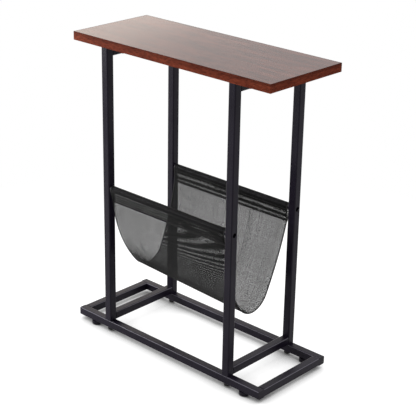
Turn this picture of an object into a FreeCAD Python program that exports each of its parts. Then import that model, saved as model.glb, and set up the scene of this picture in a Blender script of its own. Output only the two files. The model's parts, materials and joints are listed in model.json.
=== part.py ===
"""Magazine table with rack, in millimetres.

A narrow wood-look board stands on two end frames of square tube, which are bolted
to a rectangular tube base on levelling feet. A mesh sling for magazines hangs from
two round rails between the end frames.

The origin is on the floor under the middle of the board. X runs along the board,
Y from the front to the rear, Z up.
"""
import FreeCAD, Part
import math
import os
import re
import Sketcher

V = FreeCAD.Vector

# Driving sizes, each with the thing that it measures
SIZES = {
    "overall_width": 450,         # board and base along X
    "overall_depth": 178,         # board and base along Y
    "overall_height": 560,        # floor to the top of the board
    "board_thickness": 15,
    "band_thickness": 1,          # edge banding round the board
    "tube_size": 15,              # outside of the square tube
    "tube_wall": 1.2,
    "tube_bore_radius": 0.8,      # inside corner of the square tube
    "post_inset": 78,             # end of the base to the middle of a post
    "cap_flange": 1.2,            # part of an end cap that shows
    "cap_depth": 8,               # part of an end cap inside the tube
    "insert_clearance": 0.1,      # round a piece that is fixed inside a tube
    "foot_height": 8,             # floor to the underside of the base
    "foot_diameter": 18,
    "foot_edge_radius": 2.5,
    "foot_inset": 39,             # end of the base to the middle of a foot
    "pad_floor_thickness": 2,     # pad under the stud's flange
    "swivel_play": 0.1,           # above the stud's flange in the pad
    "stud_diameter": 6,
    "stud_flange_diameter": 11,
    "stud_flange_thickness": 2,
    "stud_head_room": 1.6,        # above the stud in the base tube
    "foot_nut_width": 10,         # across flats
    "foot_nut_height": 5,
    "thread_clearance": 0.05,     # between a thread and its nut
    "hole_clearance": 0.3,        # between a fastener and a plain hole
    "bolt_diameter": 6,           # bolts between the base and the posts
    "bolt_head_diameter": 10,
    "bolt_head_height": 4.5,
    "bolt_key_width": 4,
    "bolt_key_depth": 2.5,
    "post_nut_height": 10,
    "rail_diameter": 12,          # round rails that carry the sling
    "rail_wall": 1,
    "rail_height": 286,           # floor to the rail's axis
    "rail_plug_length": 15,
    "rail_bolt_diameter": 5,
    "rail_bolt_bite": 12,         # thread inside the rail's plug
    "rail_bolt_head_diameter": 8,
    "rail_bolt_head_height": 4,
    "rail_bolt_key_width": 4,
    "rail_bolt_key_depth": 2.2,
    "screw_diameter": 4,          # screws up into the board
    "screw_bite": 11,
    "screw_tip_length": 3,
    "screw_head_diameter": 8,
    "screw_head_height": 2.5,
    "screw_key_width": 2.5,
    "screw_key_depth": 1.3,
    "screw_inset": 29,            # end of a top rail to the middle of a screw
    "pilot_room": 0.5,            # below the tip of a screw
    "fabric_thickness": 0.8,
    "sleeve_clearance": 0.3,      # between a rail and the sleeve round it
    "sling_end_gap": 2.5,         # between the sling's side edge and a post
    "seam_drop": 24,              # rail's axis to the sleeve's seam
    "sling_front_lean": 1,        # degrees from upright at the front seam
    "sling_rear_lean": 12,        # degrees from upright at the rear seam
    "sling_bottom_height": 114.5,
    "sling_bottom_inset": 41.5,   # rails' axes to the sides of the round bottom, seen from above
    "sling_bottom_forward": 2,    # forward of the middle between the rails
    "dome_share": 0.8,            # of a head's height that is rounded
}

# Sizes that follow from the driving ones
FOLLOWING = {
    "tube_bore": "tube_size - 2 * tube_wall",
    "tube_corner_radius": "tube_bore_radius + tube_wall",
    "insert_side": "tube_bore - 2 * insert_clearance",
    "base_top": "foot_height + tube_size",
    "board_bottom": "overall_height - board_thickness",
    "post_length": "board_bottom - base_top",
    "post_place": "overall_width / 2 - post_inset",
    "side_place": "(overall_depth - tube_size) / 2",
    "end_place": "(overall_width - tube_size) / 2",
    "cross_length": "overall_depth - 2 * tube_size",
    "base_rail_length": "overall_width - 2 * cap_flange",
    "foot_place": "overall_width / 2 - foot_inset",
    "foot_radius": "foot_diameter / 2",
    "stud_radius": "stud_diameter / 2",
    "stud_bore_radius": "stud_radius + thread_clearance",
    "stud_hole_radius": "stud_radius + hole_clearance",
    "flange_radius": "stud_flange_diameter / 2",
    "flange_bore_radius": "flange_radius + thread_clearance",
    "flange_top": "pad_floor_thickness + stud_flange_thickness",
    "flange_bore_top": "flange_top + swivel_play",
    "stud_top": "base_top - tube_wall - stud_head_room",
    "bolt_hole_radius": "bolt_diameter / 2 + hole_clearance",
    "bolt_bore_radius": "bolt_diameter / 2 + thread_clearance",
    "bolt_length": "tube_size + post_nut_height",
    "rail_radius": "rail_diameter / 2",
    "rail_bore_radius": "rail_radius - rail_wall",
    "rail_end": "post_place - tube_size / 2",
    "rail_length": "2 * rail_end",
    "rail_plug_radius": "rail_bore_radius - insert_clearance",
    "rail_bolt_bore_radius": "rail_bolt_diameter / 2 + thread_clearance",
    "rail_bolt_hole_radius": "rail_bolt_diameter / 2 + hole_clearance",
    "rail_bolt_access_radius": "rail_bolt_head_diameter / 2 + hole_clearance",
    "rail_bolt_length": "tube_wall + rail_bolt_bite",
    "rail_bolt_seat": "rail_end + tube_wall",
    "screw_place": "cross_length / 2 - screw_inset",
    "screw_hole_radius": "screw_diameter / 2 + hole_clearance",
    "screw_pilot_radius": "screw_diameter / 2 + thread_clearance",
    "screw_length": "tube_size + screw_bite",
    "screw_seat": "board_bottom - tube_size",
    "sling_length": "rail_length - 2 * sling_end_gap",
    "sling_bottom_radius": "side_place - sling_bottom_inset",
    "sleeve_radius": "rail_radius + sleeve_clearance",
}

UPRIGHT = FreeCAD.Rotation()
TURNED_ROUND = FreeCAD.Rotation(V(0, 0, 1), 180)
ALONG_X = FreeCAD.Rotation(V(0, 1, 0), 90)
AGAINST_X = FreeCAD.Rotation(V(0, 1, 0), -90)
ALONG_Y = FreeCAD.Rotation(V(1, 0, 0), -90)

SIDES = {"left": "-", "right": ""}      # sign of X
FACES = {"front": "-", "rear": ""}      # sign of Y

doc = FreeCAD.newDocument("magazine_table")
sheet = doc.addObject("Spreadsheet::Sheet", "Sizes")
subparts = []


def fill_sheet():
    """Write every size into the sheet under its name."""
    following = {name: "=" + formula for name, formula in FOLLOWING.items()}
    for row, (name, size) in enumerate({**SIZES, **following}.items(), start=1):
        sheet.set(f"A{row}", name)
        sheet.set(f"B{row}", str(size))
        sheet.setAlias(f"B{row}", name)
    doc.recompute()


def value(formula):
    """What a formula of named sizes comes to now."""
    return float(sheet.evalExpression(formula))


def bind(item, setting, formula):
    """Tie a setting of a document object to a formula of named sizes."""
    item.setExpression(setting, re.sub(r"[a-z]+(_[a-z]+)+", r"Sizes.\g<0>", formula))


def place(item, x, y, z, rotation=UPRIGHT):
    """Turn a piece and put its own origin at three formulas."""
    item.Placement = FreeCAD.Placement(V(), rotation)
    for axis, formula in zip("xyz", (x, y, z)):
        bind(item, f"Placement.Base.{axis}", formula)
    return item


def keep(item):
    """List a piece as one of the table's sub-parts."""
    subparts.append(item)
    return item


def group(label, master, places):
    """A sub-part of separate, identical pieces at several places."""
    copies = []
    for number, (x, y, z, rotation) in enumerate(places, start=1):
        copy = doc.addObject("App::Link", f"{label}_{number}")
        copy.LinkedObject = master
        copies.append(place(copy, x, y, z, rotation))
    cluster = doc.addObject("Part::Compound", label)
    cluster.Links = copies
    return keep(cluster)


# Sketches

def sketch_on(body, role, height=None):
    """A sketch on one of the body's own planes, or at a height above it."""
    planes = {feature.Role: feature for feature in body.Origin.OriginFeatures}
    sketch = body.newObject("Sketcher::SketchObject", f"{body.Label}_sketch")
    sketch.AttachmentSupport = [(planes[role], "")]
    sketch.MapMode = "FlatFace"
    if height:
        bind(sketch, "AttachmentOffset.Base.z", height)
    return sketch


def rule(sketch, formula, kind, *where):
    """One dimension of a sketch, tied to a formula."""
    index = sketch.addConstraint(Sketcher.Constraint(kind, *where, value(formula)))
    bind(sketch, f"Constraints[{index}]", formula)


def pin(sketch, geometry, point, across, along):
    """Hold a point of a sketch at two formulas from the sketch's origin."""
    for kind, axis, formula in (("DistanceX", -2, across), ("DistanceY", -1, along)):
        if formula == "0":
            on_axis = Sketcher.Constraint("PointOnObject", geometry, point, axis)
            sketch.addConstraint(on_axis)
        else:
            rule(sketch, formula, kind, -1, 1, geometry, point)


def draw_outline(sketch, corners):
    """A closed outline of straight lines through corners given as formulas."""
    points = [V(value(across), value(along), 0) for across, along in corners]
    count = len(points)
    first = sketch.GeometryCount
    for k in range(count):
        sketch.addGeometry(Part.LineSegment(points[k], points[(k + 1) % count]))
    for k in range(count):
        after = first + (k + 1) % count
        sketch.addConstraint(Sketcher.Constraint("Coincident", first + k, 2, after, 1))
    for k, corner in enumerate(corners):
        pin(sketch, first + k, 1, *corner)


def draw_circle(sketch, radius, across="0", along="0"):
    """A circle of a named radius about a point given as formulas."""
    centre = V(value(across), value(along), 0)
    circle = sketch.addGeometry(Part.Circle(centre, V(0, 0, 1), value(radius)))
    pin(sketch, circle, 3, across, along)
    rule(sketch, radius, "Radius", circle)


def draw_rounded_square(sketch, side, radius):
    """A square about the sketch's origin with rounded corners."""
    half = value(side) / 2
    corner = value(radius)
    reach = half - corner
    first = sketch.GeometryCount
    for quarter in range(4):
        turn = FreeCAD.Rotation(V(0, 0, 1), 90 * quarter)
        start = turn.multVec(V(half, -reach, 0))
        end = turn.multVec(V(half, reach, 0))
        round_end = turn.multVec(V(reach, half, 0))
        centre = turn.multVec(V(reach, reach, 0))
        middle = centre + (end + round_end - centre * 2).normalize() * corner
        sketch.addGeometry(Part.LineSegment(start, end))
        sketch.addGeometry(Part.Arc(end, middle, round_end))
    for quarter in range(4):
        line = first + 2 * quarter
        arc = line + 1
        after = first + 2 * ((quarter + 1) % 4)
        straight = "Horizontal" if quarter % 2 else "Vertical"
        sketch.addConstraint(Sketcher.Constraint("Tangent", line, 2, arc, 1))
        sketch.addConstraint(Sketcher.Constraint("Tangent", arc, 2, after, 1))
        sketch.addConstraint(Sketcher.Constraint(straight, line))
        rule(sketch, f"{side} / 2", "Distance", -1, 1, line)
        if quarter:
            sketch.addConstraint(Sketcher.Constraint("Equal", first + 1, arc))
    rule(sketch, radius, "Radius", first + 1)


def draw_hexagon(sketch, width):
    """A hexagon about the sketch's origin, by its width across flats."""
    corners = []
    for k in range(6):
        corners.append((f"{width} / sqrt(3) * cos({60 * k} deg)",
                        f"{width} / sqrt(3) * sin({60 * k} deg)"))
    draw_outline(sketch, corners)


# Features

def new_body(label):
    return doc.addObject("PartDesign::Body", label)


def pad(body, sketch, length, down=False):
    """Raise a sketch by a length."""
    feature = body.newObject("PartDesign::Pad", f"{body.Label}_pad")
    feature.Profile = sketch
    feature.Reversed = down
    bind(feature, "Length", length)
    doc.recompute()


def pocket(body, sketch, length=None, reverse=False, both=False):
    """Cut a sketch out of the body, to a length or right through."""
    before = body.Shape.Volume
    feature = body.newObject("PartDesign::Pocket", f"{body.Label}_pocket")
    feature.Profile = sketch
    feature.Reversed = reverse
    feature.SideType = "Symmetric" if both else "One side"
    if length:
        bind(feature, "Length", length)
    else:
        feature.Type = "ThroughAll"
    doc.recompute()
    if not feature.Shape.Volume < before:
        raise RuntimeError(f"a pocket cuts nothing from {body.Label}")


def revolve(body, corners):
    """Turn an outline of (radius, height) corners about the body's Z axis."""
    sketch = sketch_on(body, "XZ_Plane")
    draw_outline(sketch, corners)
    feature = body.newObject("PartDesign::Revolution", f"{body.Label}_revolution")
    feature.Profile = sketch
    feature.ReferenceAxis = (sketch, ["V_Axis"])
    feature.Angle = 360
    doc.recompute()


def round_rim(body, height, radius):
    """Round the circular edges that lie at one height of the body."""
    solid = body.Tip
    level = value(height)
    rims = []
    for number, edge in enumerate(solid.Shape.Edges, start=1):
        box = edge.BoundBox
        if max(abs(box.ZMin - level), abs(box.ZMax - level)) < Part.Precision.confusion():
            rims.append(f"Edge{number}")
    feature = body.newObject("PartDesign::Fillet", f"{body.Label}_fillet")
    feature.Base = (solid, rims)
    bind(feature, "Radius", radius)
    doc.recompute()


# Pieces that occur more than once

def square_tube(label, length):
    """A square tube along its own Z axis, from its origin up."""
    body = new_body(label)
    section = sketch_on(body, "XY_Plane")
    draw_rounded_square(section, "tube_size", "tube_corner_radius")
    draw_rounded_square(section, "tube_bore", "tube_bore_radius")
    pad(body, section, length)
    return body


def drill(body, role, radius, heights, **direction):
    """Round holes across a tube at heights along it."""
    sketch = sketch_on(body, role)
    for height in heights:
        draw_circle(sketch, radius, along=height)
    pocket(body, sketch, **direction)


def headed_fastener(label, sizes, length, tip=None):
    """A bolt or screw with a domed, hexagon-socket head.

    Its head hangs below its own origin and its shank stands above it.
    """
    shank = f"{sizes}_diameter / 2"
    head = f"{sizes}_head_diameter / 2"
    head_end = f"-{sizes}_head_height"
    body = new_body(label)
    corners = [("0", head_end), (head, head_end), (head, "0"), (shank, "0")]
    if tip:
        corners += [(shank, f"{length} - {tip}"), ("0", length)]
    else:
        corners += [(shank, length), ("0", length)]
    revolve(body, corners)
    round_rim(body, head_end, f"{sizes}_head_height * dome_share")
    socket = sketch_on(body, "XY_Plane", head_end)
    draw_hexagon(socket, f"{sizes}_key_width")
    pocket(body, socket, length=f"{sizes}_key_depth", reverse=True)
    return body


def bored_insert(label, length, bore, side=None, radius=None):
    """A threaded insert, square by its side or round by its radius."""
    body = new_body(label)
    section = sketch_on(body, "XY_Plane")
    if side:
        draw_rounded_square(section, side, "tube_bore_radius")
    else:
        draw_circle(section, radius)
    draw_circle(section, bore)
    pad(body, section, length)
    return body


# Sub-parts of the table

def make_board():
    """The board, with pilot holes in its underside, and its edge banding."""
    board = new_body("top_board")
    half_width = "overall_width / 2 - band_thickness"
    half_depth = "overall_depth / 2 - band_thickness"
    face = sketch_on(board, "XY_Plane")
    draw_outline(face, [(f"-({half_width})", f"-({half_depth})"), (half_width, f"-({half_depth})"),
                        (half_width, half_depth), (f"-({half_width})", half_depth)])
    pad(board, face, "board_thickness")
    pilots = sketch_on(board, "XY_Plane")
    for x in SIDES.values():
        for y in FACES.values():
            draw_circle(pilots, "screw_pilot_radius", f"{x}post_place", f"{y}screw_place")
    pocket(board, pilots, length="screw_bite + pilot_room", reverse=True)
    keep(place(board, "0", "0", "board_bottom"))

    bands = {
        "front": ("overall_width", "band_thickness", "-overall_width / 2", "-overall_depth / 2"),
        "rear": ("overall_width", "band_thickness", "-overall_width / 2", half_depth),
        "left": ("band_thickness", f"2 * ({half_depth})", "-overall_width / 2", f"-({half_depth})"),
        "right": ("band_thickness", f"2 * ({half_depth})", half_width, f"-({half_depth})"),
    }
    for side, (along_x, along_y, x, y) in bands.items():
        band = doc.addObject("Part::Box", f"edge_band_{side}")
        bind(band, "Length", along_x)
        bind(band, "Width", along_y)
        bind(band, "Height", "board_thickness")
        keep(place(band, x, y, "board_bottom"))


def make_end_frames():
    """Two end frames, each of two posts with a rail at the top and the bottom."""
    rail_level = "rail_height - base_top"
    for side, x in SIDES.items():
        outward = UPRIGHT if side == "right" else TURNED_ROUND
        for face, y in FACES.items():
            post = square_tube(f"{side}_{face}_post", "post_length")
            drill(post, "YZ_Plane", "rail_bolt_access_radius", [rail_level], reverse=True)
            drill(post, "YZ_Plane", "rail_bolt_hole_radius", [rail_level])
            keep(place(post, f"{x}post_place", f"{y}side_place", "base_top", outward))
        top = square_tube(f"{side}_top_rail", "cross_length")
        drill(top, "XZ_Plane", "screw_hole_radius",
              [f"cross_length / 2 {sign} screw_place" for sign in "+-"], both=True)
        keep(place(top, f"{x}post_place", "-cross_length / 2",
                   "board_bottom - tube_size / 2", ALONG_Y))
        bottom = square_tube(f"{side}_bottom_rail", "cross_length")
        keep(place(bottom, f"{x}post_place", "-cross_length / 2",
                   "base_top + tube_size / 2", ALONG_Y))


def make_base():
    """The base: two long rails with capped ends and two end rails between them."""
    level = "foot_height + tube_size / 2"
    for face, y in FACES.items():
        rail = square_tube(f"base_{face}_rail", "base_rail_length")
        drill(rail, "YZ_Plane", "bolt_hole_radius",
              [f"base_rail_length / 2 {sign} post_place" for sign in "+-"], both=True)
        drill(rail, "YZ_Plane", "stud_hole_radius",
              [f"base_rail_length / 2 {sign} foot_place" for sign in "+-"], reverse=True)
        keep(place(rail, "-base_rail_length / 2", f"{y}side_place", level, ALONG_X))
    for side, x in SIDES.items():
        rail = square_tube(f"base_{side}_rail", "cross_length")
        keep(place(rail, f"{x}end_place", "-cross_length / 2", level, ALONG_Y))

    cap = new_body("base_end_cap")
    flange = sketch_on(cap, "XY_Plane")
    draw_rounded_square(flange, "tube_size", "tube_corner_radius")
    pad(cap, flange, "cap_flange")
    plug = sketch_on(cap, "XY_Plane")
    draw_rounded_square(plug, "insert_side", "tube_bore_radius")
    pad(cap, plug, "cap_depth", down=True)
    turns = {"left": AGAINST_X, "right": ALONG_X}
    group("base_end_caps", cap,
          [(f"{x}base_rail_length / 2", f"{y}side_place", level, turns[side])
           for side, x in SIDES.items() for y in FACES.values()])


def make_fasteners():
    """Bolts under the posts with their nuts, bolts of the rails, screws of the board."""
    corners = [(x, y) for x in SIDES.values() for y in FACES.values()]

    bolt = headed_fastener("base_bolt", "bolt", "bolt_length")
    group("base_bolts", bolt,
          [(f"{x}post_place", f"{y}side_place", "foot_height", UPRIGHT) for x, y in corners])
    nut = bored_insert("post_nut", "post_nut_height", "bolt_bore_radius", side="insert_side")
    group("post_nuts", nut,
          [(f"{x}post_place", f"{y}side_place", "base_top", UPRIGHT) for x, y in corners])

    screw = headed_fastener("top_screw", "screw", "screw_length", tip="screw_tip_length")
    group("top_screws", screw,
          [(f"{x}post_place", f"{y}screw_place", "screw_seat", UPRIGHT) for x, y in corners])

    inward = {"-": ALONG_X, "": AGAINST_X}
    rail_bolt = headed_fastener("rail_bolt", "rail_bolt", "rail_bolt_length")
    group("rail_bolts", rail_bolt,
          [(f"{x}rail_bolt_seat", f"{y}side_place", "rail_height", inward[x]) for x, y in corners])
    plug = bored_insert("rail_end_plug", "rail_plug_length", "rail_bolt_bore_radius",
                        radius="rail_plug_radius")
    group("rail_end_plugs", plug,
          [(f"{x}rail_end", f"{y}side_place", "rail_height", inward[x]) for x, y in corners])


def make_feet():
    """Four levelling feet: a pad, a stud that turns in it, and a nut in the base."""
    nut = new_body("foot_nut")
    section = sketch_on(nut, "XY_Plane")
    draw_hexagon(section, "foot_nut_width")
    draw_circle(section, "stud_bore_radius")
    pad(nut, section, "foot_nut_height")
    group("foot_nuts", nut,
          [(f"{x}foot_place", f"{y}side_place", "foot_height + tube_wall", UPRIGHT)
           for x in SIDES.values() for y in FACES.values()])

    for side, x in SIDES.items():
        for face, y in FACES.items():
            foot = new_body(f"{side}_{face}_foot_pad")
            revolve(foot, [("0", "0"), ("foot_radius", "0"), ("foot_radius", "foot_height"),
                           ("stud_bore_radius", "foot_height"),
                           ("stud_bore_radius", "flange_bore_top"),
                           ("flange_bore_radius", "flange_bore_top"),
                           ("flange_bore_radius", "pad_floor_thickness"),
                           ("0", "pad_floor_thickness")])
            round_rim(foot, "0", "foot_edge_radius")
            keep(place(foot, f"{x}foot_place", f"{y}side_place", "0"))
            stud = new_body(f"{side}_{face}_foot_stud")
            revolve(stud, [("0", "pad_floor_thickness"), ("flange_radius", "pad_floor_thickness"),
                           ("flange_radius", "flange_top"), ("stud_radius", "flange_top"),
                           ("stud_radius", "stud_top"), ("0", "stud_top")])
            keep(place(stud, f"{x}foot_place", f"{y}side_place", "0"))


def make_sling_rails():
    """The two round rails between the end frames."""
    for face, y in FACES.items():
        rail = new_body(f"{face}_sling_rail")
        section = sketch_on(rail, "XY_Plane")
        draw_circle(section, "rail_radius")
        draw_circle(section, "rail_bore_radius")
        pad(rail, section, "rail_length")
        keep(place(rail, "-rail_end", f"{y}side_place", "rail_height", ALONG_X))


def make_sling():
    """The mesh sling: one cloth that hangs in a U, sewn into a sleeve round each rail.

    Its section in Y and Z is a bottom arc, a side arc tangent to it at each side, and
    two straight walls from each side's seam up to an arc round the rail. The bottom
    hangs a little forward of the middle between the rails, below a fuller front side.
    """
    thickness = value("fabric_thickness")
    hole_radius = value("sleeve_radius")
    rail = V(0, value("side_place"), value("rail_height"))
    bottom_radius = value("sling_bottom_radius")
    bottom_height = value("sling_bottom_height")

    def arc(centre, radius, start_way, end_way):
        """The short arc about a centre between two directions."""
        middle_way = (start_way + end_way).normalize()
        return [centre + way * radius for way in (start_way, middle_way, end_way)]

    def sleeve_loop(radius, start, end):
        """Walls and arcs of a sleeve from an outer point round the rail to an inner one."""
        touches = []
        for point, turn in ((start, 1), (end, -1)):
            away = point - rail
            angle = turn * math.degrees(math.acos(radius / away.Length))
            way = FreeCAD.Rotation(V(1, 0, 0), angle).multVec(away.normalize())
            touches.append(way)
        top = V(0, 0, 1)
        over = [arc(rail, radius, touches[0], top), arc(rail, radius, top, touches[1])]
        return [[start, over[0][0]], *over, [over[1][2], end]]

    def hole_tip(outer_loop):
        """Where the inside faces of a sleeve's two walls meet above the seam."""
        walls = []
        for start, end in (outer_loop[0], list(reversed(outer_loop[-1]))):
            along = (end - start).normalize()
            towards_rail = rail - end
            inside = (towards_rail - along * towards_rail.dot(along)).normalize()
            walls.append((start + inside * thickness, along))
        (first, way), (second, other_way) = walls
        gap = second - first
        reach = gap.cross(other_way).dot(V(1, 0, 0)) / way.cross(other_way).dot(V(1, 0, 0))
        return first + way * reach

    def rear_side(lean_name, bottom_place):
        """A side as it is at the rear: the paths of its outline and of its hole."""
        lean = math.radians(value(lean_name))
        inward = V(0, -math.cos(lean), math.sin(lean))
        seam = rail + V(0, -math.sin(lean), -math.cos(lean)) * value("seam_drop")
        bottom_centre = V(0, bottom_place, bottom_height + bottom_radius)
        drop = seam - bottom_centre
        side_radius = (drop.dot(drop) - bottom_radius ** 2) / (-2 * (drop.dot(inward) + bottom_radius))
        side_centre = seam + inward * side_radius
        join_way = (bottom_centre - side_centre).normalize()
        outline = []
        for offset in (thickness / 2, -thickness / 2):
            outline.append(arc(bottom_centre, bottom_radius + offset, V(0, 0, -1), join_way))
            outline.append(arc(side_centre, side_radius + offset, join_way, -inward))
        outside = seam - inward * (thickness / 2)
        inside = seam + inward * (thickness / 2)
        loop = sleeve_loop(hole_radius + thickness, outside, inside)
        tip = hole_tip(loop)
        return outline + loop, sleeve_loop(hole_radius, tip, tip)

    def at_front(paths):
        return [[V(point.x, -point.y, point.z) for point in path] for path in paths]

    def edges(paths):
        """Straight and round edges through the points of each path."""
        made = []
        for path in paths:
            curve = Part.LineSegment(*path) if len(path) == 2 else Part.Arc(*path)
            made.append(curve.toShape())
        return made

    forward = value("sling_bottom_forward")
    rear_outline, rear_hole = rear_side("sling_rear_lean", -forward)
    front_outline, front_hole = map(at_front, rear_side("sling_front_lean", forward))
    outline = Part.Wire(Part.__sortEdges__(edges(rear_outline + front_outline)))
    holes = [Part.Wire(edges(paths)) for paths in (rear_hole, front_hole)]
    section = Part.makeFace([outline, *holes], "Part::FaceMakerBullseye")
    length = value("sling_length")
    sling = doc.addObject("Part::Feature", "sling")
    sling.Shape = section.extrude(V(length, 0, 0))
    sling.Placement = FreeCAD.Placement(V(-length / 2, 0, 0), UPRIGHT)
    keep(sling)


def export_subparts():
    """Check every object of the document, then write each sub-part to its file."""
    doc.recompute()
    for item in doc.Objects:
        if "Invalid" in item.State or "Error" in item.State:
            raise RuntimeError(f"{item.Label} did not build: {item.State}")
    for item in subparts:
        if item.Shape.isNull() or not item.Shape.isValid():
            raise RuntimeError(f"{item.Label} has no valid shape")
    os.makedirs("parts", exist_ok=True)
    for item in subparts:
        item.Shape.exportStep(f"parts/{item.Label}.step")


fill_sheet()
make_board()
make_end_frames()
make_base()
make_fasteners()
make_feet()
make_sling_rails()
make_sling()
export_subparts()
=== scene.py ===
"""Looks of the magazine table with rack.

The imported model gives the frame, board, fasteners and feet, which get their materials
here. The mesh sling is made here as one sewn cloth that hangs from its two rails, and the
bolts under the base are made here with deep, domed heads.

Lengths are in metres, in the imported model's frame: X along the board, Y from the front
to the rear, Z up.
"""
import bisect
import bpy
import json
import math
import random
from mathutils import Matrix, Vector


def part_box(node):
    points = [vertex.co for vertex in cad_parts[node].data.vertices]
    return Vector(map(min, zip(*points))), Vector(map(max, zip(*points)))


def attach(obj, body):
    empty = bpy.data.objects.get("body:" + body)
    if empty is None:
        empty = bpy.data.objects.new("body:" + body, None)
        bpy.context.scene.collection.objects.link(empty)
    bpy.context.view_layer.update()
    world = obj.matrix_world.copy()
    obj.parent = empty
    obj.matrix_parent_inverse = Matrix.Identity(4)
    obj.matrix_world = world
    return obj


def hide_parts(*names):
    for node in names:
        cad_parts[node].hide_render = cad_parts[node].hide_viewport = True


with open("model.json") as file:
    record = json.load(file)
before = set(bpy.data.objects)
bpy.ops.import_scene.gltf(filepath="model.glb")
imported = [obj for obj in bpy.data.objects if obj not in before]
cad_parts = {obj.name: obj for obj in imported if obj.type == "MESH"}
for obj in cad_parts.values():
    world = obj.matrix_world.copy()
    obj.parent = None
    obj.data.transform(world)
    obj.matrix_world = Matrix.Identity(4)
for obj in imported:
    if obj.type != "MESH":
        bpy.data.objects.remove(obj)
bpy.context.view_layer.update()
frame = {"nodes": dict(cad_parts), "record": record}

# Camera, fitted to the corners of the board, base and feet in the photograph
CAMERA_AZIMUTH = math.radians(42.53)       # from the front towards +X
CAMERA_ELEVATION = math.radians(22.22)
CAMERA_ROLL = math.radians(1.1)
CAMERA_DISTANCE = 2.1566
CAMERA_TARGET = Vector((0.0194, 0.0, 0.2725))
FOCAL_LENGTH_PIXELS = 1227.8
IMAGE_PIXELS = 416
SENSOR_WIDTH = 36.0                        # millimetres, as is the lens

# Cloth of the sling
CLOTH_HALF_THICKNESS = 0.0004              # of the CAD's sheet
SLEEVE_RADIUS = 0.0066                     # cloth round a rail
FRONT_SEAM_DROP = 0.024                    # rail's axis to the lower edge of the hem
REAR_SEAM_DROP = 0.027
HEM_WIDTH = 0.0040                         # band of three layers above the seam
LAYER_STEP = 0.0005                        # between sewn layers
FRONT_LEAN = math.radians(1.0)             # from upright at the seams
REAR_LEAN = math.radians(12.0)
BOTTOM_RADIUS = 0.040
BOTTOM_FORWARD = 0.002                     # of the middle between the rails
SKEW_FORWARD = 0.0073                      # of the bottom at the right end, and back at the left
SKEW_DROP = 0.0020                         # likewise down at the right end, and up at the left
PATH_STEP = 0.0025                         # between points along the cloth
COLUMN_STEP = 0.0055                       # between points along the rails
PUCKER_HEIGHT = 0.00025                    # gathers beside the seams
PUCKER_LENGTH = 0.013
PUCKER_REACH = 0.014
CURL_HEIGHT = 0.0009                       # side edges that lean inwards
CURL_POWER = 6

# Weave
WARP_PITCH = 0.0007                        # between threads down the cloth
WARP_SHARE = 0.50                          # of that pitch that a thread covers
WARP_UNEVENNESS = 0.30                     # of a thread's width, more or less
WARP_SHIFT = 0.16                          # in pitches, to either side of a thread's even place
WEFT_PITCH = 0.0016                        # between threads along the rails
WEFT_SHARE = 0.67                          # of that pitch that a thread covers
WEFT_UNEVENNESS = 0.06                     # of a thread's width, more or less
WEFT_HALF_HEIGHT = 0.00022
WEFT_STEP = 0.011                          # between points of such a thread
WEFT_SEED = 1                              # of the chance in their widths
WEAVE_RELIEF = WEFT_PITCH / 3
UNDER_HEIGHT_SHARE = 0.4                   # of a thread's height where it passes under another
THREAD_TONES = ((0.006, 0.006, 0.006), (0.010, 0.010, 0.010))
THREAD_SHINE = (0.42, 0.55)
THREAD_SPECULAR = 0.08
CLOTH_UV = "cloth_metres"

# Binding of the cloth's side edges, and stitching
BINDING_WIDTH = 0.0020
BINDING_HALF_THICKNESS = 0.00042
BINDING_OVERHANG = 0.0003                  # past the cloth's edge
BINDING_ACROSS_POWER = 0.35                # squares its round section along the cloth
BINDING_ABOVE_POWER = 0.6                  # and through the cloth
STITCH_LENGTH = 0.0026
STITCH_GAP = 0.0009
STITCH_RADIUS = 0.00017
STITCH_LIFT = 0.00016
STITCH_LIFT_SHARES = (0.0, 0.8, 1.0, 0.8, 0.0)
STITCH_INSET = 0.0009                      # from the edge of what it holds
RING_POINTS = 6

# Bolts under the base
CAD_BOLT_HEAD_RADIUS = 0.0050
BOLT_HEAD_RADIUS = 0.0060
BOLT_HEAD_HEIGHT = 0.0060
BOLT_DOME_RADIUS = 0.0022
BOLT_DOME_STEPS = 6
BOLT_KEY_HALF_WIDTH = 0.0020
BOLT_KEY_DEPTH = 0.0025
BOLT_SHANK_RADIUS = 0.0030
BOLT_TIP_CHAMFER = 0.0006
BOLT_POINTS = 24
BOLT_CREASE = math.radians(40.0)           # from which an edge stays sharp

# Wood grain, backing and edge band of the board
PORES_TO_GRAIN = 2.6                       # cells of the pores to one of the grain
STREAK_SHADE = (0.62, 0.58, 0.55)
PORE_SHADE = (0.55, 0.50, 0.46)
GRAIN_RELIEF = 0.00003
BACKING_ROUGHNESS = 0.9
BACKING_FACING = (-0.9, -0.5)              # how far up it faces, from full backing to none
BAND_LIGHT_SHARE = 0.35                    # of its height, from the bottom, at full tone
BAND_TOP_SHADE = 0.62                      # of that tone at the top of its side
BAND_UPPER_FACE_SHADE = 0.45               # and of the tone at the top on its upper face
BAND_UPPER_FACING = (0.5, 0.9)             # how far up that face turns, from no shade to full

# Powder coat of the tubes, with a painted highlight: a paler tone along their upward-facing arrises
ARRIS_HIGHLIGHT_TONE = (0.120, 0.113, 0.137, 1.0)
ARRIS_HIGHLIGHT_FACING = (0.25, 0.45, 0.80, 0.95)    # where that tone starts, is full, fades and ends

# Depth of fine surface marks
ZINC_RELIEF = 0.00002
TAPE_RELIEF = 0.0001
SEWING_RELIEF = 0.00006

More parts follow.
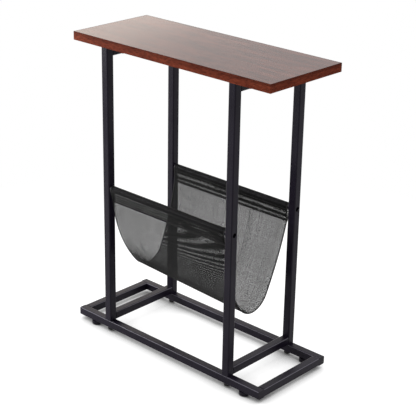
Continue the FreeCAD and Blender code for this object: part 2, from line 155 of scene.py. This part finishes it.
# Stage
FLOOR_SIZE = 14.0
FLOOR_DROP = 0.0002                        # under the feet
FLOOR_COLOUR = (0.95, 0.95, 0.95, 1.0)     # with which it lights the table
FLOOR_SEEN_COLOUR = (0.35, 0.35, 0.35, 1.0)
# Within the reach below, the glow is dimmed by ambient occlusion, a painted contact shadow near the
# table's pieces.
FLOOR_GLOW = 0.85                          # white that it shows besides, where nothing is near
FLOOR_PAINTED_SHADOW_REACH = 0.06                 # within which a piece takes from that white
FLOOR_SHUT_SHARE = 0.28                    # of open space above it, at which none is left
FLOOR_OPEN_SHARE = 0.80                    # and at which all of it is
FLOOR_NEAR_RADIUS = 0.3                    # where the paper starts to give way to plain white
FLOOR_FAR_RADIUS = 0.9                     # and where it ends
FLOOR_MIRRORED = 0.4                       # share of that white in reflections
AMBIENT_STRENGTH = 0.5
BACK_LIGHT_COLOUR = (1.0, 0.87, 0.74)
BACK_LIGHT_ROLL = math.radians(24.0)

# Plain colours, and the sockets of a Mix node for colours
BLACK = (0.0, 0.0, 0.0)
WHITE = (1.0, 1.0, 1.0)
MIX_FACTOR, MIX_FIRST, MIX_SECOND = 0, 6, 7
MIX_RESULT = 2


# Nodes of materials

def add(tree, kind, inputs=None, **settings):
    """A node with its settings, each input given a value or joined to a socket."""
    node = tree.nodes.new(kind)
    for name, setting in settings.items():
        setattr(node, name, setting)
    join(tree, node, inputs or {})
    return node


def join(tree, node, inputs):
    """Give inputs of a node their values or sockets."""
    for name, source in inputs.items():
        if isinstance(source, bpy.types.NodeSocket):
            tree.links.new(source, node.inputs[name])
        else:
            node.inputs[name].default_value = source


def joined_to(node, name):
    """The socket that an input of a node is joined to."""
    return node.inputs[name].links[0].from_socket


def calculate(tree, operation, *terms):
    """One sum of a Math node."""
    return add(tree, "ShaderNodeMath", dict(enumerate(terms)), operation=operation).outputs[0]


def nodes_of(material):
    """The nodes of a material and its main shader."""
    tree = material.node_tree
    return tree, tree.nodes["Principled BSDF"]


def new_material(name):
    """A material, its nodes and its main shader."""
    material = bpy.data.materials.new(name)
    material.use_nodes = True
    return material, *nodes_of(material)


def noise(tree, cells, detail=2.0, roughness=0.5, distortion=0.0):
    """Noise with a number of cells to the metre along X, Y and Z."""
    place = add(tree, "ShaderNodeTexCoord").outputs["Object"]
    mapped = add(tree, "ShaderNodeMapping", {"Vector": place, "Scale": cells}).outputs["Vector"]
    return add(tree, "ShaderNodeTexNoise", {
        "Vector": mapped, "Scale": 1.0, "Detail": detail, "Roughness": roughness,
        "Distortion": distortion}).outputs["Fac"]


def ramp(tree, factor, *stops):
    """Colours at positions of a factor."""
    node = add(tree, "ShaderNodeValToRGB", {"Fac": factor})
    elements = node.color_ramp.elements
    while len(elements) < len(stops):
        elements.new(1.0)
    for element, (position, colour) in zip(elements, stops):
        element.position = position
        element.color = (*colour, 1.0)
    return node.outputs["Color"]


def two_tones(tree, factor, tones):
    """A dark and a light tone at the low and high places of a noise."""
    dark, light = tones
    return ramp(tree, factor, (0.35, dark), (0.65, light))


def between(tree, factor, low, high, start=0.3, end=0.7):
    """A factor between start and end spread over low to high."""
    return add(tree, "ShaderNodeMapRange", {
        "Value": factor, "From Min": start, "From Max": end, "To Min": low, "To Max": high}
    ).outputs["Result"]


def mix(tree, factor, first, second, blend_type="MIX"):
    """Two colours mixed by a factor."""
    inputs = {MIX_FACTOR: factor, MIX_FIRST: first, MIX_SECOND: second}
    node = add(tree, "ShaderNodeMix", inputs, data_type="RGBA", blend_type=blend_type)
    return node.outputs[MIX_RESULT]


def multiply(tree, colour, shade):
    """A colour darkened by a grey or coloured shade."""
    return mix(tree, 1.0, colour, shade, "MULTIPLY")


def facing_up(tree):
    """How far a surface faces up: 1 for a top, 0 for a side, -1 for an underside."""
    normal = add(tree, "ShaderNodeNewGeometry").outputs["Normal"]
    return add(tree, "ShaderNodeSeparateXYZ", {"Vector": normal}).outputs["Z"]


def bump(tree, height, distance, strength=1.0):
    """The normal of a surface with a relief."""
    return add(tree, "ShaderNodeBump", {
        "Height": height, "Distance": distance, "Strength": strength}).outputs["Normal"]


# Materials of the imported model

def wood(name, lengthwise, crosswise, tones, shine, specular):
    """Wood-grain foil: broad figure, fine grain and short dark pores.

    lengthwise and crosswise are cells to the metre of the broad figure and of the grain.
    """
    material, tree, shader = new_material(name)
    figure = noise(tree, lengthwise, detail=5.0, roughness=0.6, distortion=0.5)
    grain = noise(tree, crosswise, detail=4.0, roughness=0.65)
    pores = noise(tree, tuple(cells * PORES_TO_GRAIN for cells in crosswise), detail=1.0)
    dark, middle, light = tones
    colour = ramp(tree, figure, (0.32, dark), (0.5, middle), (0.68, light))
    streaks = ramp(tree, grain, (0.35, STREAK_SHADE), (0.6, WHITE))
    specks = ramp(tree, pores, (0.5, WHITE), (0.68, PORE_SHADE))
    join(tree, shader, {
        "Base Color": multiply(tree, multiply(tree, colour, streaks), specks),
        "Roughness": between(tree, grain, *shine),
        "Specular IOR Level": specular,
        "Normal": bump(tree, grain, GRAIN_RELIEF)})
    return material


def wood_laminate():
    """Wood-grain laminate with a shiny face and a dull backing under the board."""
    material = wood("wood_laminate", lengthwise=(6.0, 60.0, 60.0), crosswise=(22.0, 150.0, 150.0),
                    tones=((0.080, 0.022, 0.014), (0.140, 0.042, 0.027), (0.200, 0.064, 0.042)),
                    shine=(0.14, 0.20), specular=0.33)
    tree, shader = nodes_of(material)
    face = joined_to(shader, "Roughness")
    backing = between(tree, facing_up(tree), BACKING_ROUGHNESS, 0.0, *BACKING_FACING)
    join(tree, shader, {"Roughness": calculate(tree, "MAXIMUM", face, backing)})
    return material


def edge_band():
    """Wood-grain band that darkens towards its top, with a dark upper face."""
    material = wood("edge_band", lengthwise=(14.0, 14.0, 150.0), crosswise=(80.0, 80.0, 340.0),
                    tones=((0.128, 0.022, 0.010), (0.180, 0.035, 0.016), (0.235, 0.048, 0.022)),
                    shine=(0.42, 0.55), specular=0.03)
    tree, shader = nodes_of(material)
    low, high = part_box("edge_band_front")
    place = add(tree, "ShaderNodeTexCoord").outputs["Object"]
    height = add(tree, "ShaderNodeSeparateXYZ", {"Vector": place}).outputs["Z"]
    light_up_to = low.z + (high.z - low.z) * BAND_LIGHT_SHARE
    fading = between(tree, height, 1.0, BAND_TOP_SHADE, light_up_to, high.z)
    upper = between(tree, facing_up(tree), 1.0, BAND_UPPER_FACE_SHADE, *BAND_UPPER_FACING)
    grained = joined_to(shader, "Base Color")
    shade = calculate(tree, "MULTIPLY", fading, upper)
    join(tree, shader, {"Base Color": multiply(tree, grained, shade)})
    return material


def painted(name, tones, shine, grain_cells, grain_depth, specular):
    """A black finish with cloudy tone and a fine-grained surface."""
    material, tree, shader = new_material(name)
    cloud = noise(tree, (28.0,) * 3, detail=3.0)
    grain = noise(tree, (grain_cells,) * 3, detail=2.0)
    join(tree, shader, {
        "Base Color": two_tones(tree, cloud, tones),
        "Roughness": between(tree, grain, *shine),
        "Specular IOR Level": specular,
        "Normal": bump(tree, grain, grain_depth)})
    return material


def powder_coat():
    """Satin black with a painted highlight, a paler tone along the upper arrises of the tubes."""
    material = painted("powder_coat", tones=((0.0078, 0.0057, 0.0122), (0.0110, 0.0084, 0.0165)),
                       shine=(0.26, 0.36), grain_cells=1300.0, grain_depth=0.00002, specular=0.12)
    tree, shader = nodes_of(material)
    black = joined_to(shader, "Base Color")
    # Painted highlight: upward-facing rounded arrises take a paler tone in place of the light that
    # they would catch.
    arris_highlight = ramp(tree, facing_up(tree), *zip(ARRIS_HIGHLIGHT_FACING, (BLACK, WHITE, WHITE, BLACK)))
    join(tree, shader, {"Base Color": mix(tree, arris_highlight, black, ARRIS_HIGHLIGHT_TONE)})
    return material


def black_plastic():
    """Moulded plastic of the feet and end caps."""
    return painted("black_plastic", tones=((0.0078, 0.0062, 0.0112), (0.0105, 0.0086, 0.0148)),
                   shine=(0.32, 0.44), grain_cells=1900.0, grain_depth=0.00003, specular=0.12)


def black_steel():
    """Black oxide of the bolts and screws."""
    return painted("black_steel", tones=((0.007, 0.0065, 0.007), (0.012, 0.011, 0.012)),
                   shine=(0.26, 0.4), grain_cells=900.0, grain_depth=0.00001, specular=0.25)


def zinc_steel():
    """Zinc plate with faint spangle and fine turning marks."""
    material, tree, shader = new_material("zinc_steel")
    spangle = noise(tree, (240.0,) * 3, detail=2.0)
    marks = noise(tree, (300.0, 300.0, 5200.0), detail=1.0)
    join(tree, shader, {
        "Base Color": two_tones(tree, spangle, ((0.50, 0.50, 0.47), (0.62, 0.62, 0.60))),
        "Metallic": 1.0,
        "Roughness": between(tree, spangle, 0.24, 0.36),
        "Normal": bump(tree, marks, ZINC_RELIEF, strength=0.5)})
    return material


def dress_nodes():
    """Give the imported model's pieces, apart from the sling, the materials of their slots.

    Returns the materials by slot.
    """
    makers = (wood_laminate, edge_band, powder_coat, black_plastic, black_steel, zinc_steel)
    finishes = {make.__name__: make() for make in makers}
    for subpart in frame["record"]["subparts"]:
        finish = finishes.get(subpart["material_slot"])
        if finish:
            node = frame["nodes"][subpart["node"]]
            node.data.materials.clear()
            node.data.materials.append(finish)
    return finishes


# Materials of the sling

def mesh_fabric():
    """Open weave of round coated threads, one over and one under."""
    material, tree, shader = new_material("mesh_fabric")
    metres = add(tree, "ShaderNodeUVMap", uv_map=CLOTH_UV).outputs["UV"]
    split = add(tree, "ShaderNodeSeparateXYZ", {"Vector": metres})
    warp = calculate(tree, "DIVIDE", split.outputs["X"], WARP_PITCH)
    weft = calculate(tree, "DIVIDE", split.outputs["Y"], WEFT_PITCH)
    rows = [calculate(tree, "FLOOR", thread) for thread in (warp, weft)]
    over = calculate(tree, "FLOORED_MODULO", calculate(tree, "ADD", *rows), 2.0)
    under = calculate(tree, "SUBTRACT", 1.0, over)
    draw = add(tree, "ShaderNodeTexWhiteNoise", {"W": rows[0]}, noise_dimensions="1D")
    chance = draw.outputs["Value"]
    slim, full = 1.0 - WARP_UNEVENNESS, 1.0 + WARP_UNEVENNESS
    warp_half = between(tree, chance, slim * WARP_SHARE / 2, full * WARP_SHARE / 2, 0.0, 1.0)
    warp_middle = between(tree, chance, 0.5 - WARP_SHIFT, 0.5 + WARP_SHIFT, 0.0, 1.0)
    weft_half = (1.0 - WEFT_UNEVENNESS) * WEFT_SHARE / 2
    covers, heights = [], []
    for thread, middle, half_width, on_top in ((warp, warp_middle, warp_half, over),
                                               (weft, 0.5, weft_half, under)):
        fraction = calculate(tree, "FRACT", thread)
        from_middle = calculate(tree, "ABSOLUTE", calculate(tree, "SUBTRACT", fraction, middle))
        across = calculate(tree, "DIVIDE", from_middle, half_width)
        covers.append(calculate(tree, "LESS_THAN", across, 1.0))
        rounded = calculate(tree, "SUBTRACT", 1.0, calculate(tree, "MULTIPLY", across, across))
        lift = between(tree, on_top, UNDER_HEIGHT_SHARE, 1.0, 0.0, 1.0)
        heights.append(calculate(tree, "MULTIPLY", rounded, lift))
    tone = noise(tree, (420.0,) * 3, detail=2.0)
    join(tree, shader, {
        "Base Color": two_tones(tree, tone, THREAD_TONES),
        "Roughness": between(tree, tone, *THREAD_SHINE),
        "Specular IOR Level": THREAD_SPECULAR,
        "Alpha": calculate(tree, "MAXIMUM", *covers),
        "Normal": bump(tree, calculate(tree, "MAXIMUM", *heights), WEAVE_RELIEF)})
    return material


def coated_thread():
    """Coating of the threads along the rails."""
    return painted("coated_thread", tones=THREAD_TONES, shine=THREAD_SHINE,
                   grain_cells=2400.0, grain_depth=0.00001, specular=THREAD_SPECULAR)


def tape():
    """Closely woven tape of the bound edges."""
    material, tree, shader = new_material("binding_tape")
    ribs = noise(tree, (1500.0,) * 3, detail=1.0)
    tone = noise(tree, (160.0,) * 3, detail=3.0)
    join(tree, shader, {
        "Base Color": two_tones(tree, tone, ((0.010, 0.010, 0.010), (0.017, 0.017, 0.017))),
        "Roughness": between(tree, tone, 0.6, 0.75),
        "Specular IOR Level": 0.25,
        "Normal": bump(tree, ribs, TAPE_RELIEF)})
    return material


def sewing_thread():
    """Twisted black thread."""
    material, tree, shader = new_material("sewing_thread")
    twist = noise(tree, (2600.0,) * 3, detail=1.0)
    join(tree, shader, {
        "Base Color": two_tones(tree, twist, ((0.010, 0.010, 0.010), (0.026, 0.026, 0.026))),
        "Roughness": between(tree, twist, 0.4, 0.6),
        "Normal": bump(tree, twist, SEWING_RELIEF)})
    return material


# Meshes

def new_piece(name, points, faces, material):
    """A smooth mesh piece that rides with the table."""
    mesh = bpy.data.meshes.new(name)
    mesh.from_pydata(points, [], faces)
    mesh.shade_smooth()
    mesh.materials.append(material)
    piece = bpy.data.objects.new(name, mesh)
    bpy.context.scene.collection.objects.link(piece)
    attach(piece, "table")
    return piece


def grid_faces(rows, columns, closed=False):
    """Quads between rows of points, each row closed to a ring or open."""
    faces = []
    for row in range(rows - 1):
        for column in range(columns if closed else columns - 1):
            after = (column + 1) % columns
            faces.append((row * columns + column, row * columns + after,
                          (row + 1) * columns + after, (row + 1) * columns + column))
    return faces


def tube_faces(rows, columns, first):
    """Quads of a closed tube of rings, with its two ends, from a first point on."""
    faces = grid_faces(rows, columns, closed=True)
    faces.append(tuple(reversed(range(columns))))
    faces.append(tuple(range((rows - 1) * columns, rows * columns)))
    return [tuple(first + corner for corner in face) for face in faces]


# Sling

def arc_points(centre, start, end, count):
    """Points on the short arc about a centre from one point to another."""
    first, last = start - centre, end - centre
    angle = first.angle(last)
    points = []
    for k in range(count + 1):
        share = k / count
        way = first * math.sin((1 - share) * angle) + last * math.sin(share * angle)
        points.append(centre + way / math.sin(angle))
    return points


def steps(length):
    """Number of steps along a stretch of the cloth."""
    return max(2, round(length / PATH_STEP))


def line_points(start, end):
    """Points on a straight stretch of the cloth."""
    count = steps((end - start).length)
    return [start.lerp(end, k / count) for k in range(count + 1)]


def rear_path(lean, seam_drop, bottom_place):
    """The path of a side as it is at the rear, from its hem's cut edge to its lowest point.

    Below the seam the side is an arc that leaves at its lean and touches the bottom's arc.
    Returns the points in order and, by name, the places of the two sides of the hem.
    """
    rail_low, rail_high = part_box("rear_sling_rail")
    rail = (rail_low + rail_high) / 2
    rail.x = 0.0
    hang = Vector((0.0, -math.sin(lean), -math.cos(lean)))
    inward = Vector((0.0, -math.cos(lean), math.sin(lean)))
    seam = rail + hang * seam_drop
    hem_top = seam - hang * HEM_WIDTH
    bottom = Vector((0.0, bottom_place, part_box("sling")[0].z + CLOTH_HALF_THICKNESS))
    bottom_centre = bottom + Vector((0.0, 0.0, BOTTOM_RADIUS))
    drop = seam - bottom_centre
    outward = -drop.dot(inward)
    side_radius = (drop.length_squared - BOTTOM_RADIUS ** 2) / (2 * (outward - BOTTOM_RADIUS))
    side_centre = seam + inward * side_radius
    side_join = bottom_centre + (bottom_centre - side_centre).normalized() * BOTTOM_RADIUS

    def sewn(point, layer):
        """A point of the hem moved out by a number of layers."""
        return point - inward * (LAYER_STEP * layer)

    def touch(point, turn):
        """Where a wall of the sleeve from a point meets the round of the rail."""
        away = point - rail
        angle = turn * math.acos(SLEEVE_RADIUS / away.length)
        return rail + Matrix.Rotation(angle, 3, "X") @ away.normalized() * SLEEVE_RADIUS

    top = rail + Vector((0.0, 0.0, SLEEVE_RADIUS))
    outer_touch = touch(sewn(hem_top, 2), 1)
    inner_touch = touch(hem_top, -1)
    over_steps = steps(SLEEVE_RADIUS * math.pi)
    runs = [
        line_points(sewn(hem_top, 1), sewn(seam, 1)),
        line_points(sewn(seam, 2), sewn(hem_top, 2)),
        line_points(sewn(hem_top, 2), outer_touch),
        arc_points(rail, outer_touch, top, over_steps),
        arc_points(rail, top, inner_touch, over_steps),
        line_points(inner_touch, hem_top),
        line_points(hem_top, seam),
        arc_points(side_centre, seam, side_join, steps((seam - side_join).length)),
        arc_points(bottom_centre, side_join, bottom, steps((side_join - bottom).length)),
    ]
    path = []
    for run in runs:
        path += run if not path or (run[0] - path[-1]).length > LAYER_STEP / 2 else run[1:]
    return path, {"outer_seam": sewn(seam, 2), "outer_top": sewn(hem_top, 2),
                  "inner_top": hem_top, "inner_seam": seam}


class Cloth:
    """The sling's surface: a point for a place along the rails, along the path and above it.

    Above is the side of the magazines, which is outside on the sleeves.
    """

    def __init__(self):
        rear, rear_hem = rear_path(REAR_LEAN, REAR_SEAM_DROP, -BOTTOM_FORWARD)
        front, front_hem = rear_path(FRONT_LEAN, FRONT_SEAM_DROP, BOTTOM_FORWARD)
        mirror = Matrix.Diagonal((1.0, -1.0, 1.0))
        self.points = rear + [mirror @ point for point in reversed(front[:-1])]
        self.lengths = [0.0]
        for before, after in zip(self.points, self.points[1:]):
            self.lengths.append(self.lengths[-1] + (after - before).length)
        self.ways = []
        for k in range(len(self.points)):
            ahead = self.points[min(k + 1, len(self.points) - 1)]
            behind = self.points[max(k - 1, 0)]
            along = (ahead - behind).normalized()
            self.ways.append(Vector((0.0, along.z, -along.y)))
        self.rear = {name: self.length_at(point) for name, point in rear_hem.items()}
        self.front = {name: self.length_at(mirror @ point) for name, point in front_hem.items()}
        low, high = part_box("sling")
        self.half_width = (high.x - low.x) / 2
        self.bottom_height = low.z
        self.seam_height = min(hem["inner_seam"].z for hem in (rear_hem, front_hem))

    def length_at(self, point):
        """Length of path up to the path's point nearest to a point."""
        nearest = min(range(len(self.points)), key=lambda k: (self.points[k] - point).length)
        return self.lengths[nearest]

    def across(self, step):
        """Places along the rails from side edge to side edge, about a step apart."""
        count = round(2 * self.half_width / step)
        return [self.half_width * (2 * k / count - 1) for k in range(count + 1)]

    def swell(self, x, length):
        """Height of the gathers beside the seams and of the curl of the side edges."""
        start, end = self.rear["inner_seam"], self.front["inner_seam"]
        hang = min(length - start, end - length)
        if hang <= 0.0:
            return 0.0
        gather = math.sin(2 * math.pi * x / PUCKER_LENGTH) * math.exp(-hang / PUCKER_REACH)
        rise = min(1.0, hang / PUCKER_REACH) * PUCKER_HEIGHT
        deep = 2 * hang / (end - start)
        curl = abs(x / self.half_width) ** CURL_POWER * math.sin(math.pi * deep)
        return gather * rise + curl * CURL_HEIGHT

    def slack(self, height):
        """How freely the cloth hangs at a height: 0 at the seams, 1 at its bottom."""
        share = (self.seam_height - height) / (self.seam_height - self.bottom_height)
        return min(1.0, max(0.0, share))

    def place(self, x, length, above=0.0):
        """A point in space."""
        k = min(max(bisect.bisect_right(self.lengths, length) - 1, 0), len(self.points) - 2)
        share = (length - self.lengths[k]) / (self.lengths[k + 1] - self.lengths[k])
        point = self.points[k].lerp(self.points[k + 1], share)
        way = self.ways[k].lerp(self.ways[k + 1], share)
        point = point + way * (self.swell(x, length) + above)
        askew = self.slack(point.z) * x / self.half_width
        return Vector((x, point.y - SKEW_FORWARD * askew, point.z - SKEW_DROP * askew))


def make_cloth(cloth):
    """The woven cloth, with its own flat metres as coordinates of the weave."""
    across = cloth.across(COLUMN_STEP)
    flat = [(x, length) for length in cloth.lengths for x in across]
    points = [cloth.place(x, length) for x, length in flat]
    piece = new_piece("sling_cloth", points, grid_faces(len(cloth.lengths), len(across)),
                      mesh_fabric())
    layer = piece.data.uv_layers.new(name=CLOTH_UV)
    for loop in piece.data.loops:
        layer.data[loop.index].uv = flat[loop.vertex_index]
    return piece


def squared(share, power):
    """A share of a round section's reach, drawn out towards a rectangle's by a power."""
    return math.copysign(abs(share) ** power, share)


def make_binding(cloth):
    """Folded tape over both side edges, from hem to hem."""
    rim_points = 2 * RING_POINTS
    rim = []
    for k in range(rim_points):
        angle = 2 * math.pi * k / rim_points
        rim.append((squared(math.cos(angle), BINDING_ACROSS_POWER) * BINDING_WIDTH / 2,
                    squared(math.sin(angle), BINDING_ABOVE_POWER) * BINDING_HALF_THICKNESS))
    start, end = cloth.rear["outer_seam"], cloth.front["outer_seam"]
    lengths = [length for length in cloth.lengths if start <= length <= end]
    middle = cloth.half_width + BINDING_OVERHANG - BINDING_WIDTH / 2
    points, faces = [], []
    for side in (-1, 1):
        faces += tube_faces(len(lengths), rim_points, len(points))
        for length in lengths:
            points += [cloth.place(side * (middle + across), length, above)
                       for across, above in rim[::side]]
    return new_piece("sling_binding", points, faces, tape())


def thread_ring(cloth, x, length, above, along_rail, half_width, half_height):
    """A ring of points round a thread, in the order that turns its faces outwards."""
    ring = []
    for k in range(RING_POINTS):
        angle = 2 * math.pi * k / RING_POINTS
        aside = half_width * math.cos(angle)
        up = half_height * math.sin(angle)
        if along_rail:
            ring.append(cloth.place(x, length + aside, above - up))
        else:
            ring.append(cloth.place(x + aside, length, above + up))
    return ring


def make_weft(cloth):
    """Round threads along the rails, which close up where the cloth is seen at a slant."""
    chance = random.Random(WEFT_SEED)
    across = cloth.across(WEFT_STEP)
    first = math.ceil(cloth.rear["outer_seam"] / WEFT_PITCH)
    last = math.floor(cloth.front["outer_seam"] / WEFT_PITCH)
    points, faces = [], []
    for thread in range(first, last):
        length = (thread + 0.5) * WEFT_PITCH
        width = WEFT_SHARE * WEFT_PITCH * (1 + WEFT_UNEVENNESS * chance.uniform(-1, 1))
        faces += tube_faces(len(across), RING_POINTS, len(points))
        for x in across:
            points += thread_ring(cloth, x, length, 0.0, True, width / 2, WEFT_HALF_HEIGHT)
    return new_piece("sling_weft", points, faces, coated_thread())


def make_stitching(cloth):
    """Rows of stitches along both edges of each hem and along the binding."""
    points, faces = [], []
    last = len(STITCH_LIFT_SHARES) - 1

    def row(start, end, above, place_at, along_rail):
        """One row of arched stitches from a start to an end."""
        count = int((end - start) / (STITCH_LENGTH + STITCH_GAP))
        for number in range(count):
            begin = start + (number + 0.5) * (end - start) / count - STITCH_LENGTH / 2
            faces.extend(tube_faces(len(STITCH_LIFT_SHARES), RING_POINTS, len(points)))
            for k, share in enumerate(STITCH_LIFT_SHARES):
                x, length = place_at(begin + STITCH_LENGTH * k / last)
                up = above + math.copysign(STITCH_LIFT * share, above)
                points.extend(thread_ring(cloth, x, length, up, along_rail,
                                          STITCH_RADIUS, STITCH_RADIUS))

    reach = cloth.half_width - BINDING_WIDTH
    for hem, inset in ((cloth.rear, STITCH_INSET), (cloth.front, -STITCH_INSET)):
        for length in (hem["outer_seam"] + inset, hem["outer_top"] - inset,
                       hem["inner_top"] + inset, hem["inner_seam"] - inset):
            row(-reach, reach, STITCH_RADIUS, lambda at: (at, length), True)
    edge = cloth.half_width - BINDING_WIDTH + STITCH_INSET
    for x in (-edge, edge):
        for face in (-1, 1):
            row(cloth.rear["inner_seam"], cloth.front["inner_seam"], face * BINDING_HALF_THICKNESS,
                lambda at: (x, at), False)
    return new_piece("sling_stitching", points, faces, sewing_thread())


def make_sling():
    """The mesh sling with its bound edges and stitching, in place of the CAD's sheet."""
    cloth = Cloth()
    piece = make_cloth(cloth)
    trims = [make_weft(cloth), make_binding(cloth), make_stitching(cloth)]
    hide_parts("sling")


# Bolts under the base

def bolt_rings(seat, tip):
    """Rings of a bolt, from its key socket to its tip: whether hexagonal, radius and height."""
    underside = seat - BOLT_HEAD_HEIGHT
    rings = [(True, BOLT_KEY_HALF_WIDTH, underside + BOLT_KEY_DEPTH),
             (True, BOLT_KEY_HALF_WIDTH, underside)]
    for k in range(BOLT_DOME_STEPS + 1):
        angle = math.pi / 2 * k / BOLT_DOME_STEPS
        rings.append((False, BOLT_HEAD_RADIUS - BOLT_DOME_RADIUS * (1 - math.sin(angle)),
                      underside + BOLT_DOME_RADIUS * (1 - math.cos(angle))))
    rings += [(False, BOLT_HEAD_RADIUS, seat), (False, BOLT_SHANK_RADIUS, seat),
              (False, BOLT_SHANK_RADIUS, tip - BOLT_TIP_CHAMFER),
              (False, BOLT_SHANK_RADIUS - BOLT_TIP_CHAMFER, tip)]
    return rings


def ring_points(x, y, hexagonal, radius, z):
    """Points of one ring of a bolt; the radius of a hexagon is that of its flats."""
    points = []
    for k in range(BOLT_POINTS):
        angle = 2 * math.pi * k / BOLT_POINTS
        from_flat = angle % (math.pi / 3) - math.pi / 6
        reach = radius / math.cos(from_flat) if hexagonal else radius
        points.append((x + reach * math.cos(angle), y + reach * math.sin(angle), z))
    return points


def make_base_bolts(material):
    """Bolts under the posts with deep, domed, hexagon-socket heads, in place of the CAD's."""
    low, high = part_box("base_bolts")
    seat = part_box("base_front_rail")[0].z
    rings = bolt_rings(seat, high.z)
    points, faces = [], []
    for x in (low.x + CAD_BOLT_HEAD_RADIUS, high.x - CAD_BOLT_HEAD_RADIUS):
        for y in (low.y + CAD_BOLT_HEAD_RADIUS, high.y - CAD_BOLT_HEAD_RADIUS):
            faces += tube_faces(len(rings), BOLT_POINTS, len(points))
            for ring in rings:
                points += ring_points(x, y, *ring)
    piece = new_piece("domed_base_bolts", points, faces, material)
    piece.data.set_sharp_from_angle(angle=BOLT_CREASE)
    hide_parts("base_bolts")


# Stage, light and camera

def shows_white(tree, mirrored=1.0):
    """1 for what the camera or glass sees, a share for a mirror, 0 for the light on the table."""
    path = add(tree, "ShaderNodeLightPath").outputs
    glossy = calculate(tree, "MULTIPLY", path["Is Glossy Ray"], mirrored)
    seen = calculate(tree, "MAXIMUM", path["Is Camera Ray"], glossy)
    return calculate(tree, "MAXIMUM", seen, path["Is Transmission Ray"])


def make_world():
    """Soft light from all round, white where it is seen."""
    world = bpy.data.worlds.new("studio")
    world.use_nodes = True
    tree = world.node_tree
    tree.nodes.clear()
    light = add(tree, "ShaderNodeBackground", {"Color": (*WHITE, 1.0),
                                               "Strength": AMBIENT_STRENGTH})
    white = add(tree, "ShaderNodeBackground", {"Color": (*WHITE, 1.0), "Strength": 1.0})
    look = add(tree, "ShaderNodeMixShader", {0: shows_white(tree), 1: light.outputs[0],
                                             2: white.outputs[0]})
    add(tree, "ShaderNodeOutputWorld", {"Surface": look.outputs[0]})
    bpy.context.scene.world = world


def floor_paper():
    """White paper that keeps the table's shadow, with a painted contact shadow in its glow, and
    fades to plain white around it.
    """
    material = bpy.data.materials.new("floor")
    material.use_nodes = True
    tree = material.node_tree
    tree.nodes.clear()
    place = add(tree, "ShaderNodeTexCoord").outputs["Object"]
    away = add(tree, "ShaderNodeVectorMath", {0: place}, operation="LENGTH").outputs["Value"]
    seen = shows_white(tree, FLOOR_MIRRORED)
    fade = between(tree, away, 0.0, 1.0, FLOOR_NEAR_RADIUS, FLOOR_FAR_RADIUS)
    # Painted shadow: the glow that is seen dims by ambient occlusion near the table's pieces.
    space = add(tree, "ShaderNodeAmbientOcclusion", {"Distance": FLOOR_PAINTED_SHADOW_REACH}).outputs["AO"]
    strength = between(tree, space, 0.0, FLOOR_GLOW, FLOOR_SHUT_SHARE, FLOOR_OPEN_SHARE)
    glow_with_painted_shadow = add(tree, "ShaderNodeEmission", {"Color": (*WHITE, 1.0), "Strength": strength})
    shaded = add(tree, "ShaderNodeBsdfDiffuse", {"Color": FLOOR_SEEN_COLOUR})
    near = add(tree, "ShaderNodeAddShader", {0: shaded.outputs[0], 1: glow_with_painted_shadow.outputs[0]})
    far = add(tree, "ShaderNodeEmission", {"Color": (*WHITE, 1.0), "Strength": 1.0})
    look = add(tree, "ShaderNodeMixShader", {0: fade, 1: near.outputs[0], 2: far.outputs[0]})
    paper = add(tree, "ShaderNodeBsdfDiffuse", {"Color": FLOOR_COLOUR})
    whole = add(tree, "ShaderNodeMixShader", {0: seen, 1: paper.outputs[0], 2: look.outputs[0]})
    add(tree, "ShaderNodeOutputMaterial", {"Surface": whole.outputs[0]})
    return material


def make_floor():
    """A square floor under the feet."""
    half = FLOOR_SIZE / 2
    corners = [(-half, -half, -FLOOR_DROP), (half, -half, -FLOOR_DROP),
               (half, half, -FLOOR_DROP), (-half, half, -FLOOR_DROP)]
    mesh = bpy.data.meshes.new("floor")
    mesh.from_pydata(corners, [], [(0, 1, 2, 3)])
    mesh.materials.append(floor_paper())
    floor = bpy.data.objects.new("floor", mesh)
    bpy.context.scene.collection.objects.link(floor)


def softbox(name, place, target, size, radiance, colour=WHITE, roll=0.0):
    """A square area light of an even radiance, aimed at a point and rolled about its aim."""
    light = bpy.data.lights.new(name, "AREA")
    light.shape = "SQUARE"
    light.size = size
    light.color = colour
    light.energy = radiance * math.pi * size ** 2
    lamp = bpy.data.objects.new(name, light)
    lamp.location = place
    aim = (Vector(place) - Vector(target)).to_track_quat("Z", "Y").to_matrix()
    lamp.rotation_euler = (aim @ Matrix.Rotation(roll, 3, "Z")).to_euler()
    bpy.context.scene.collection.objects.link(lamp)


def make_lights():
    """A key from the front left, a warm softbox behind on the left and one overhead."""
    softbox("key", place=(-1.0, -0.65, 0.62), target=(-0.1, 0.0, 0.35), size=0.6, radiance=11.0)
    softbox("back", place=(-1.86, 1.55, 0.65), target=(0.0, 0.0, 0.56), size=1.0, radiance=1.2,
            colour=BACK_LIGHT_COLOUR, roll=BACK_LIGHT_ROLL)
    softbox("overhead", place=(0.1, 1.1, 2.4), target=(0.0, 0.0, 0.0), size=2.4, radiance=1.7)


def make_camera():
    """The photograph's camera."""
    back = Vector((math.sin(CAMERA_AZIMUTH) * math.cos(CAMERA_ELEVATION),
                   -math.cos(CAMERA_AZIMUTH) * math.cos(CAMERA_ELEVATION),
                   math.sin(CAMERA_ELEVATION)))
    right = Vector((0.0, 0.0, 1.0)).cross(back).normalized()
    turn = Matrix((right, back.cross(right), back)).transposed()
    turn = turn @ Matrix.Rotation(CAMERA_ROLL, 3, "Z")
    lens = bpy.data.cameras.new("camera")
    lens.sensor_width = SENSOR_WIDTH
    lens.lens = SENSOR_WIDTH * FOCAL_LENGTH_PIXELS / IMAGE_PIXELS
    camera = bpy.data.objects.new("camera", lens)
    camera.matrix_world = Matrix.Translation(CAMERA_TARGET + back * CAMERA_DISTANCE) @ turn.to_4x4()
    bpy.context.scene.collection.objects.link(camera)
    bpy.context.scene.camera = camera


finishes = dress_nodes()
make_sling()
make_base_bolts(finishes["black_steel"])
make_world()
make_floor()
make_lights()
make_camera()
bpy.context.scene.view_settings.view_transform = "Standard"
